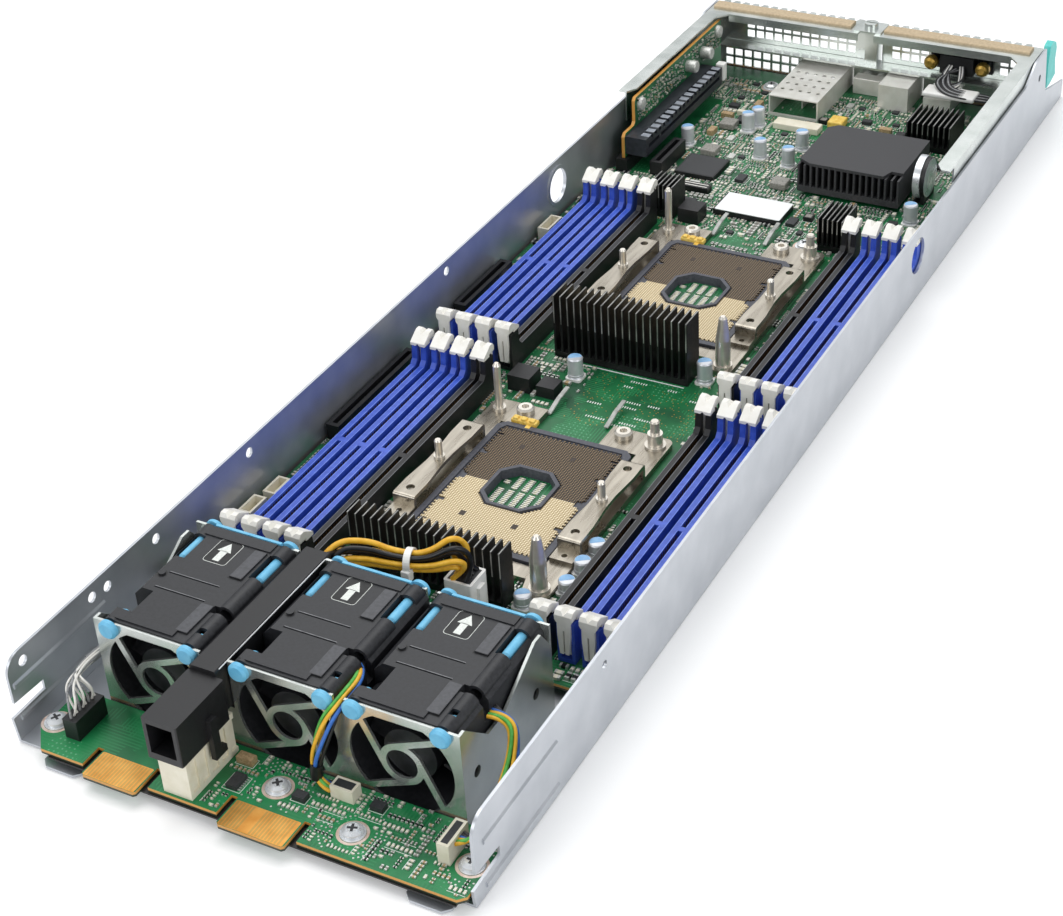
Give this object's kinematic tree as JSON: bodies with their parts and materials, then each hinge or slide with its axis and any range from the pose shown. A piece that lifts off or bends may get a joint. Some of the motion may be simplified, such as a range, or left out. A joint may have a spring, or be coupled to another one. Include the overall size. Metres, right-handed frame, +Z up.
{
  "type": "rack server",
  "caption": "Half-width rack server node: steel tray with open processor sockets, memory slots, finned sinks, fans in a guarded bracket, riser bay, ports and a docking edge.",
  "frame": {"origin": "centre of the tray's underside", "axes": "+X to the right across the tray seen from the docking end, +Y towards the port end, +Z up"},
  "size_m": [0.1746, 0.617, 0.0437],
  "materials": {
    "tray_steel": "galvanised sheet",
    "bracket_steel": "plated sheet",
    "gasket_fabric": "conductive cloth over foam",
    "teal_plastic": "moulded",
    "bright_steel": "plated",
    "film": "matte film",
    "board_green": "solder mask",
    "fan_black": "moulded",
    "mount_rubber": "soft rubber",
    "lead_black": "insulated wire",
    "lead_white": "insulated wire",
    "lead_yellow": "insulated wire",
    "cream_plastic": "moulded",
    "white_plastic": "moulded",
    "black_plastic": "moulded",
    "socket_tan": "contact field",
    "stainless": "stamped stainless",
    "slot_blue": "moulded",
    "sink_black": "black anodised",
    "sink_grey": "grey anodised",
    "port_steel": "plated shell",
    "can": "bare can"
  },
  "bodies": {
    "tray": {"tray_pan": "tray_steel", "rear_panel": "bracket_steel", "riser_bracket_left": "bracket_steel", "riser_bracket_right": "bracket_steel", "emi_gaskets": "gasket_fabric", "bracket_clip": "bracket_steel", "latch_pivot": "bright_steel", "standoffs": "bright_steel", "board_screws": "bright_steel", "insulating_film": "film", "main_board": "board_green", "docking_board": "board_green", "fan_bracket": "bracket_steel", "fan_grommets": "mount_rubber", "fan_leads": "lead_black", "lead_headers": "cream_plastic", "bridge_connector": "cream_plastic", "bridge_cap": "black_plastic", "bridge_board": "black_plastic", "power_cable": "lead_yellow", "power_connector": "white_plastic", "signal_lead": "lead_white", "cpu_sockets": "socket_tan", "bolster_plates": "stainless", "spring_bars": "stainless", "guide_posts": "bright_steel", "memory_slots_left": "slot_blue", "memory_slots_right": "slot_blue", "memory_slots_black": "black_plastic", "finned_heatsinks": "sink_black", "chipset_heatsink": "sink_grey", "riser_card": "board_green", "riser_slot": "black_plastic", "sfp_cage": "port_steel", "port_shells": "port_steel", "serial_port": "black_plastic", "serial_lead": "lead_white", "coin_cell": "bright_steel", "capacitors": "can", "board_parts_black": "black_plastic", "fan_housing_1": "fan_black", "fan_housing_2": "fan_black", "fan_housing_3": "fan_black"},
    "fan_rotor_inlet_1": {"fan_rotor_inlet_1": "fan_black"},
    "fan_rotor_outlet_1": {"fan_rotor_outlet_1": "fan_black"},
    "fan_rotor_inlet_2": {"fan_rotor_inlet_2": "fan_black"},
    "fan_rotor_outlet_2": {"fan_rotor_outlet_2": "fan_black"},
    "fan_rotor_inlet_3": {"fan_rotor_inlet_3": "fan_black"},
    "fan_rotor_outlet_3": {"fan_rotor_outlet_3": "fan_black"},
    "memory_latches_front_left_near": {"memory_latches_front_left_near": "white_plastic"},
    "memory_latches_front_left_far": {"memory_latches_front_left_far": "white_plastic"},
    "memory_latches_front_right_near": {"memory_latches_front_right_near": "white_plastic"},
    "memory_latches_front_right_far": {"memory_latches_front_right_far": "white_plastic"},
    "memory_latches_rear_left_near": {"memory_latches_rear_left_near": "white_plastic"},
    "memory_latches_rear_left_far": {"memory_latches_rear_left_far": "white_plastic"},
    "memory_latches_rear_right_near": {"memory_latches_rear_right_near": "white_plastic"},
    "memory_latches_rear_right_far": {"memory_latches_rear_right_far": "white_plastic"},
    "release_latch": {"release_latch": "teal_plastic"},
    "power_button": {"power_button": "white_plastic"},
    "id_button": {"id_button": "white_plastic"}
  },
  "joints": [
    {"name": "fan_rotor_inlet_1_spin", "type": "hinge", "parent": "tray", "child": "fan_rotor_inlet_1", "pos_m": [-0.0454, -0.25, 0.021], "axis": [0, 1, 0], "continuous": true},
    {"name": "fan_rotor_outlet_1_spin", "type": "hinge", "parent": "tray", "child": "fan_rotor_outlet_1", "pos_m": [-0.0454, -0.222, 0.021], "axis": [0, -1, 0], "continuous": true},
    {"name": "fan_rotor_inlet_2_spin", "type": "hinge", "parent": "tray", "child": "fan_rotor_inlet_2", "pos_m": [0.0058, -0.25, 0.021], "axis": [0, 1, 0], "continuous": true},
    {"name": "fan_rotor_outlet_2_spin", "type": "hinge", "parent": "tray", "child": "fan_rotor_outlet_2", "pos_m": [0.0058, -0.222, 0.021], "axis": [0, -1, 0], "continuous": true},
    {"name": "fan_rotor_inlet_3_spin", "type": "hinge", "parent": "tray", "child": "fan_rotor_inlet_3", "pos_m": [0.048, -0.25, 0.021], "axis": [0, 1, 0], "continuous": true},
    {"name": "fan_rotor_outlet_3_spin", "type": "hinge", "parent": "tray", "child": "fan_rotor_outlet_3", "pos_m": [0.048, -0.222, 0.021], "axis": [0, -1, 0], "continuous": true},
    {"name": "memory_latches_front_left_near_tilt", "type": "hinge", "parent": "tray", "child": "memory_latches_front_left_near", "pos_m": [-0.0574, -0.183, 0.011], "axis": [1, 0, 0], "range_deg": [0, 20]},
    {"name": "memory_latches_front_left_far_tilt", "type": "hinge", "parent": "tray", "child": "memory_latches_front_left_far", "pos_m": [-0.0574, -0.0494, 0.011], "axis": [-1, 0, 0], "range_deg": [0, 20]},
    {"name": "memory_latches_front_right_near_tilt", "type": "hinge", "parent": "tray", "child": "memory_latches_front_right_near", "pos_m": [0.0682, -0.183, 0.011], "axis": [1, 0, 0], "range_deg": [0, 20]},
    {"name": "memory_latches_front_right_far_tilt", "type": "hinge", "parent": "tray", "child": "memory_latches_front_right_far", "pos_m": [0.0682, -0.0494, 0.011], "axis": [-1, 0, 0], "range_deg": [0, 20]},
    {"name": "memory_latches_rear_left_near_tilt", "type": "hinge", "parent": "tray", "child": "memory_latches_rear_left_near", "pos_m": [-0.0574, -0.0288, 0.011], "axis": [1, 0, 0], "range_deg": [0, 20]},
    {"name": "memory_latches_rear_left_far_tilt", "type": "hinge", "parent": "tray", "child": "memory_latches_rear_left_far", "pos_m": [-0.0574, 0.1048, 0.011], "axis": [-1, 0, 0], "range_deg": [0, 20]},
    {"name": "memory_latches_rear_right_near_tilt", "type": "hinge", "parent": "tray", "child": "memory_latches_rear_right_near", "pos_m": [0.0682, -0.0288, 0.011], "axis": [1, 0, 0], "range_deg": [0, 20]},
    {"name": "memory_latches_rear_right_far_tilt", "type": "hinge", "parent": "tray", "child": "memory_latches_rear_right_far", "pos_m": [0.0682, 0.1048, 0.011], "axis": [-1, 0, 0], "range_deg": [0, 20]},
    {"name": "release_latch_swing", "type": "hinge", "parent": "tray", "child": "release_latch", "pos_m": [0.078, 0.288, 0.0127], "axis": [0, 0, 1], "range_deg": [0, 25], "stiffness_Nm_per_rad": 0.02},
    {"name": "power_button_press", "type": "slide", "parent": "tray", "child": "power_button", "axis": [0, -1, 0], "range_m": [0, 0.0012], "stiffness_N_per_m": 400},
    {"name": "id_button_press", "type": "slide", "parent": "tray", "child": "id_button", "axis": [0, -1, 0], "range_m": [0, 0.0012], "stiffness_N_per_m": 400}
  ]
}
